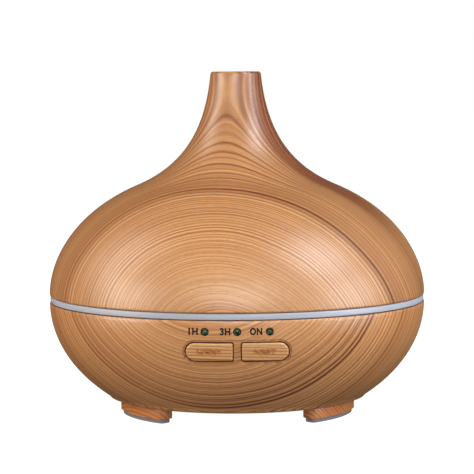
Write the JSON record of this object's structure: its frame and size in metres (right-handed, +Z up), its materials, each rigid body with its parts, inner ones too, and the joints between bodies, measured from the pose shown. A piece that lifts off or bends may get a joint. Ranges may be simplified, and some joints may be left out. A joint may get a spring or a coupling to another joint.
{
  "type": "essential oil diffuser",
  "caption": "Onion-shaped wood-grain ultrasonic oil diffuser with a lift-off cover, translucent light ring, sprung push buttons and curved feet.",
  "frame": {"origin": "centre of the footprint, on the plane the rubber foot pads rest on", "axes": "+Z up through the spout; -Y is the front, where the buttons are; +X is the viewer's right"},
  "size_m": [0.168, 0.168, 0.1522],
  "materials": {
    "wood_grain_plastic": "satin",
    "translucent_plastic": "satin",
    "white_plastic": "satin",
    "black_plastic": "satin",
    "rubber_pad": "matte",
    "silicone": "matte",
    "steel": "satin",
    "piezo_ceramic": "satin",
    "circuit_board": "satin",
    "green_lens": "polished",
    "led_lens": "polished",
    "copper_winding": "satin",
    "cable_jacket": "matte"
  },
  "bodies": {
    "base": {"lower_housing": "wood_grain_plastic", "water_tank": "translucent_plastic", "air_chimney": "translucent_plastic", "base_plate": "black_plastic", "piezo_disc": "piezo_ceramic", "piezo_seal": "silicone", "piezo_retainer": "steel", "retainer_screw_1": "steel", "retainer_screw_2": "steel", "foot_left": "wood_grain_plastic", "foot_right": "wood_grain_plastic", "foot_rear": "wood_grain_plastic", "foot_pad_left": "rubber_pad", "foot_pad_right": "rubber_pad", "foot_pad_rear": "rubber_pad", "base_screw_left": "steel", "base_screw_right": "steel", "base_screw_rear": "steel", "air_duct": "rubber_pad", "fan_frame": "black_plastic", "fan_stator": "copper_winding", "fan_screw_1": "steel", "fan_screw_2": "steel", "light_switch": "black_plastic", "mist_switch": "black_plastic", "indicator_one_hour": "green_lens", "indicator_three_hour": "green_lens", "indicator_continuous": "green_lens", "panel_board": "circuit_board", "panel_screw_1": "steel", "panel_screw_2": "steel", "main_board": "circuit_board", "drive_inductor": "black_plastic", "filter_capacitor": "cable_jacket", "heat_sink": "steel", "controller_chip": "black_plastic", "board_screw_1": "steel", "board_screw_2": "steel", "dc_jack": "black_plastic", "dc_jack_pin": "steel", "light_board": "circuit_board", "colour_led_1": "led_lens", "colour_led_2": "led_lens", "colour_led_3": "led_lens", "colour_led_4": "led_lens", "piezo_cable": "cable_jacket", "fan_cable": "cable_jacket", "panel_cable": "cable_jacket", "power_cable": "cable_jacket"},
    "cover": {"top_cover": "wood_grain_plastic", "mist_guide": "white_plastic", "splash_baffle": "white_plastic", "guide_screw_1": "steel", "guide_screw_2": "steel", "guide_screw_3": "steel"},
    "fan_rotor": {"fan_rotor": "black_plastic"},
    "light_button": {"light_button": "wood_grain_plastic"},
    "mist_button": {"mist_button": "wood_grain_plastic"},
    "light_plunger": {"light_switch_plunger": "black_plastic"},
    "mist_plunger": {"mist_switch_plunger": "black_plastic"}
  },
  "joints": [
    {"name": "cover_lift", "type": "slide", "parent": "base", "child": "cover", "axis": [0, 0, 1], "range_m": [0, 0.16]},
    {"name": "fan_spin", "type": "hinge", "parent": "base", "child": "fan_rotor", "pos_m": [0.02944, 0.017, 0.0152], "axis": [0, 0, 1], "continuous": true},
    {"name": "light_press", "type": "slide", "parent": "base", "child": "light_button", "axis": [0, 0.9411, 0.338], "range_m": [0, 0.0005], "stiffness_N_per_m": 300},
    {"name": "mist_press", "type": "slide", "parent": "base", "child": "mist_button", "axis": [0, 0.9411, 0.338], "range_m": [0, 0.0005], "stiffness_N_per_m": 300},
    {"name": "light_switch_travel", "type": "slide", "parent": "base", "child": "light_plunger", "axis": [0, 1, 0], "range_m": [0, 0.0005]},
    {"name": "mist_switch_travel", "type": "slide", "parent": "base", "child": "mist_plunger", "axis": [0, 1, 0], "range_m": [0, 0.0005]}
  ],
  "couplings": [
    {"joint": "light_switch_travel", "follows": "light_press", "ratio": 1},
    {"joint": "mist_switch_travel", "follows": "mist_press", "ratio": 1}
  ]
}
